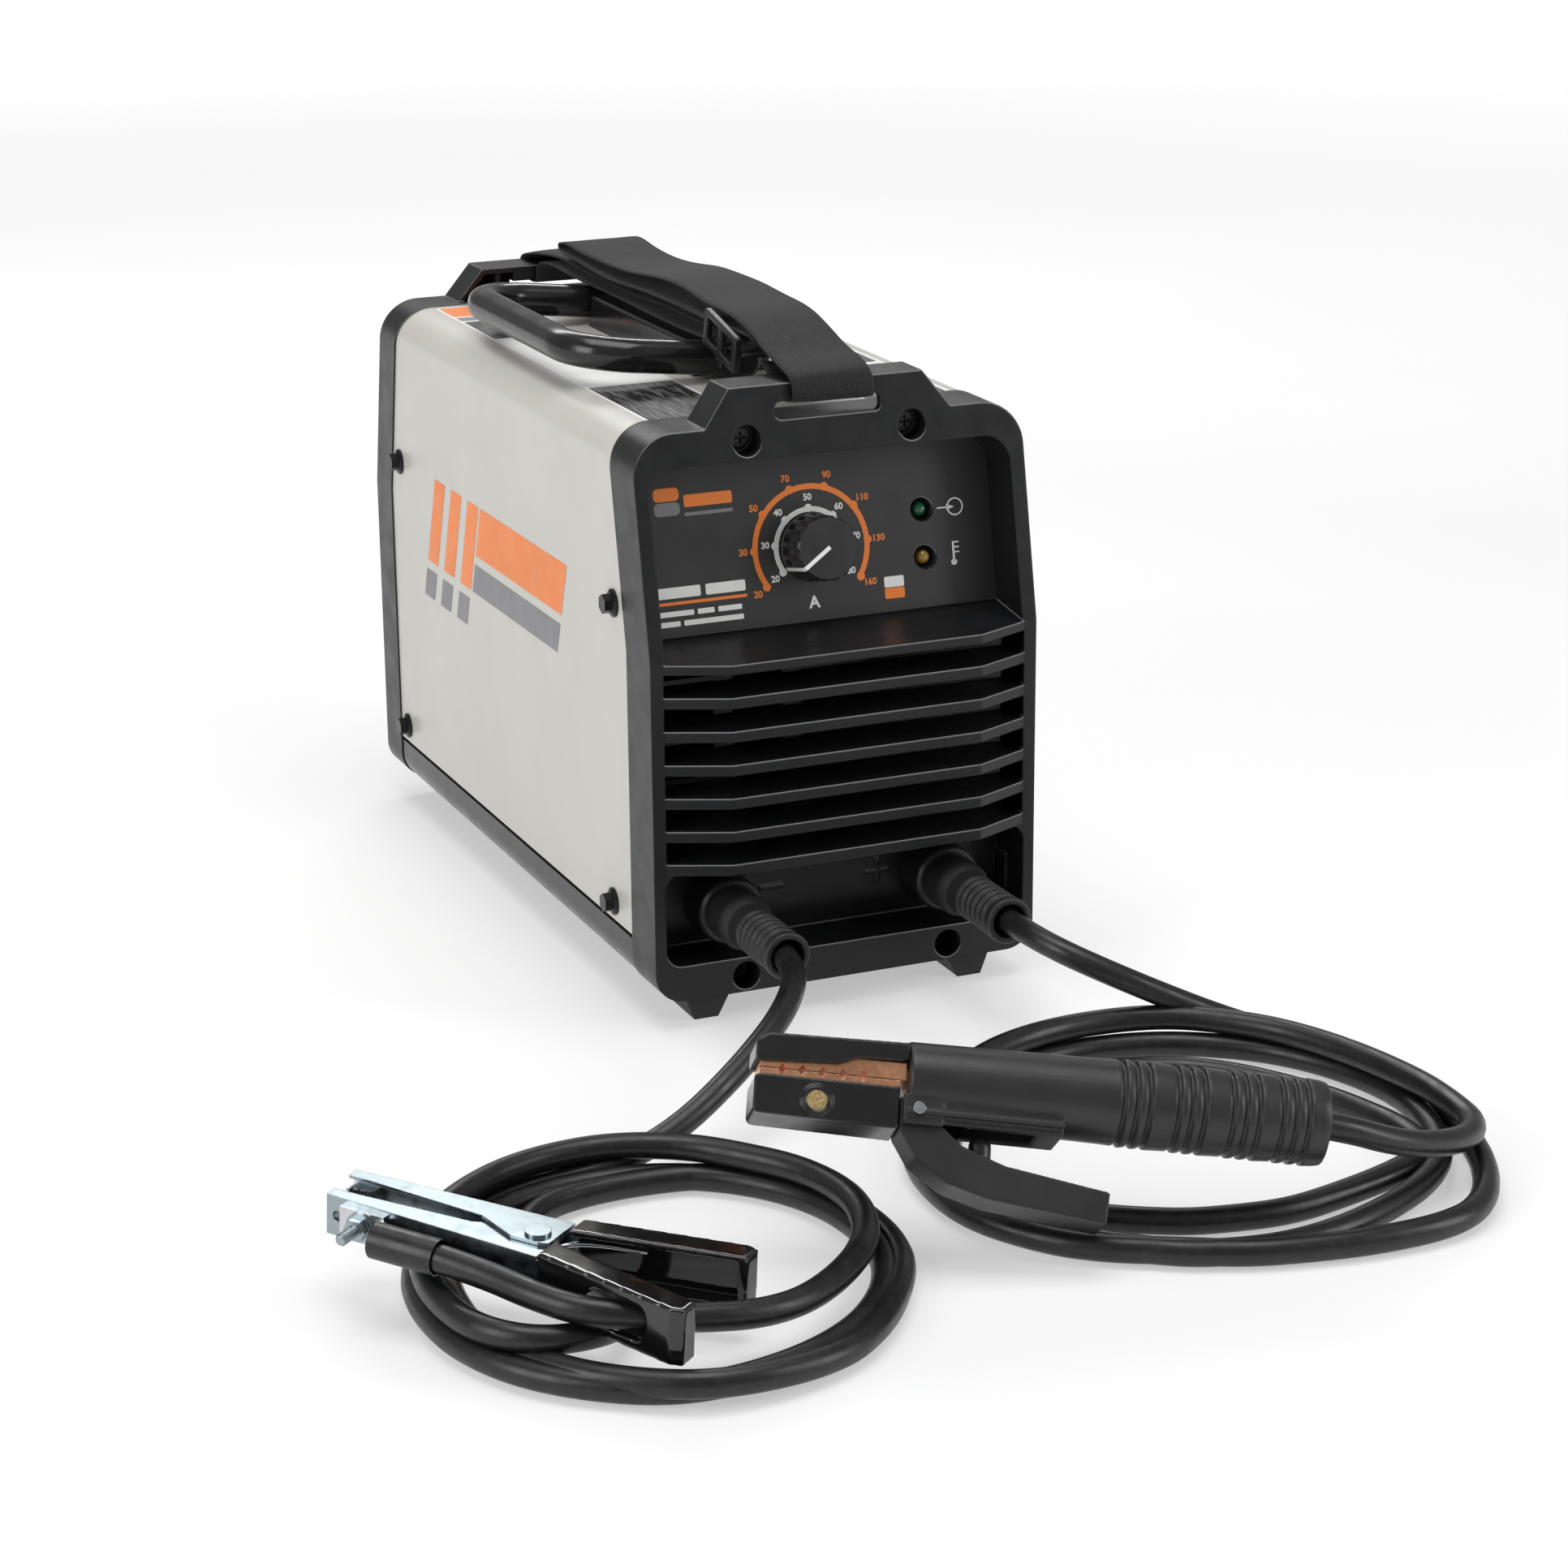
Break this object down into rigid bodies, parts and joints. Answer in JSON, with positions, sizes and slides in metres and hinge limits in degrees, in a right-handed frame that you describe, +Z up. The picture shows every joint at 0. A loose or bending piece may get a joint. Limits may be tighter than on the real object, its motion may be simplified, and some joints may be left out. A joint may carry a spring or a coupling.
{
  "type": "stick welder",
  "caption": "Portable inverter stick welder with a carry handle and strap, two coiled welding leads, an electrode holder and a work clamp.",
  "frame": {"origin": "on the floor under the middle of the case, cords and the tools on them left out", "axes": "+X to the right seen from the front, front faces -Y, +Z up"},
  "size_m": [0.4994, 0.7742, 0.316],
  "materials": {
    "bezel_plastic": "moulded, fine texture",
    "cover_paint": "satin",
    "black_metal": "satin",
    "black_rubber": "matte",
    "black_screw": "black oxide",
    "label_film": "printed film",
    "knob_plastic": "satin",
    "white_paint": "paint",
    "steel": "plain",
    "green_lens": "translucent",
    "amber_lens": "translucent",
    "socket_plastic": "moulded",
    "brass": "machined",
    "boot_rubber": "moulded",
    "cable_rubber": "satin",
    "handle_plastic": "semi-gloss",
    "webbing": "woven",
    "slider_plastic": "moulded",
    "zinc_steel": "zinc plated",
    "dipped_vinyl": "dipped",
    "copper": "stamped copper",
    "holder_plastic": "moulded",
    "holder_gloss": "moulded",
    "circuit_board": "solder mask",
    "heatsink_alloy": "extruded",
    "winding": "enamelled wire",
    "capacitor_sleeve": "sleeve",
    "black_plastic": "moulded",
    "red_plastic": "moulded"
  },
  "bodies": {
    "case": {"base_pan": "black_metal", "capacitors": "capacitor_sleeve", "case_cover": "cover_paint", "clamp_near_grip": "dipped_vinyl", "clamp_near_half": "zinc_steel", "clamp_near_pad": "steel", "clamp_rivet": "zinc_steel", "clamp_spring": "steel", "clamp_terminal_bolt": "zinc_steel", "control_label": "label_film", "cover_screws": "black_screw", "electrode_lead_coil": "cable_rubber", "electrode_lead_tail": "cable_rubber", "electrode_lead_tube": "cable_rubber", "fan_frame": "black_plastic", "feet": "black_rubber", "front_panel": "bezel_plastic", "handle_base": "handle_plastic", "handle_pins": "black_screw", "heatsinks": "heatsink_alloy", "holder_far_insulator": "holder_gloss", "holder_far_jaw": "copper", "holder_handle": "holder_plastic", "holder_pivot": "steel", "inlet_pins": "brass", "led_bezels": "bezel_plastic", "led_lens_fault": "amber_lens", "led_lens_power": "green_lens", "main_board": "circuit_board", "mains_inlet": "black_plastic", "output_socket_contacts": "brass", "output_socket_shells": "socket_plastic", "panel_screws": "black_screw", "potentiometer": "steel", "power_switch_housing": "black_plastic", "rear_panel": "bezel_plastic", "shoulder_strap": "webbing", "strap_slider": "slider_plastic", "transformer": "winding", "work_cable_lug": "steel", "work_lead_coil": "cable_rubber", "work_lead_tail": "cable_rubber", "work_lead_tube": "cable_rubber", "work_lug_sleeve": "cable_rubber"},
    "knob": {"amperage_knob": "knob_plastic", "knob_pointer": "white_paint"},
    "handle": {"carry_handle": "handle_plastic"},
    "fan_rotor": {"fan_rotor": "black_plastic"},
    "power_rocker": {"power_rocker": "red_plastic"},
    "positive_plug": {"positive_plug_boot": "boot_rubber", "positive_plug_pin": "brass"},
    "negative_plug": {"negative_plug_boot": "boot_rubber", "negative_plug_pin": "brass"},
    "clamp_far": {"clamp_far_half": "zinc_steel", "clamp_far_grip": "dipped_vinyl", "clamp_far_pad": "steel"},
    "holder_lever": {"holder_lever": "holder_plastic", "holder_near_insulator": "holder_gloss", "holder_near_jaw": "copper", "holder_screw": "brass"}
  },
  "joints": [
    {"name": "knob_turn", "type": "hinge", "parent": "case", "child": "knob", "pos_m": [-0.003, -0.16735, 0.21212], "axis": [0, 0.9816, -0.1908], "range_deg": [0, 248]},
    {"name": "handle_lift", "type": "hinge", "parent": "case", "child": "handle", "pos_m": [0, 0.0025, 0.283], "axis": [0, 1, 0], "range_deg": [0, 84], "deforming": ["shoulder_strap"]},
    {"name": "fan_spin", "type": "hinge", "parent": "case", "child": "fan_rotor", "pos_m": [0, 0.1985, 0.148], "axis": [0, 1, 0], "continuous": true},
    {"name": "power_rock", "type": "hinge", "parent": "case", "child": "power_rocker", "pos_m": [0.045, 0.1977, 0.062], "axis": [1, 0, 0], "range_deg": [0, 20]},
    {"name": "positive_plug_twist", "type": "hinge", "parent": "case", "child": "positive_plug", "pos_m": [0.055, -0.22, 0.051], "axis": [0, -1, 0], "range_deg": [0, 120]},
    {"name": "negative_plug_twist", "type": "hinge", "parent": "case", "child": "negative_plug", "pos_m": [-0.055, -0.22, 0.051], "axis": [0, -1, 0], "range_deg": [0, 120]},
    {"name": "clamp_open", "type": "hinge", "parent": "case", "child": "clamp_far", "pos_m": [-0.24746, -0.462, 0.02893], "axis": [-0.0368, 0.0442, -0.9983], "range_deg": [0, 6], "stiffness_Nm_per_rad": 1, "springref_deg": -20.05},
    {"name": "holder_open", "type": "hinge", "parent": "case", "child": "holder_lever", "pos_m": [-0.08957, -0.46123, 0.05836], "axis": [-0.182, -0.7825, 0.5955], "range_deg": [0, 12], "stiffness_Nm_per_rad": 1.2, "springref_deg": -20.05}
  ]
}
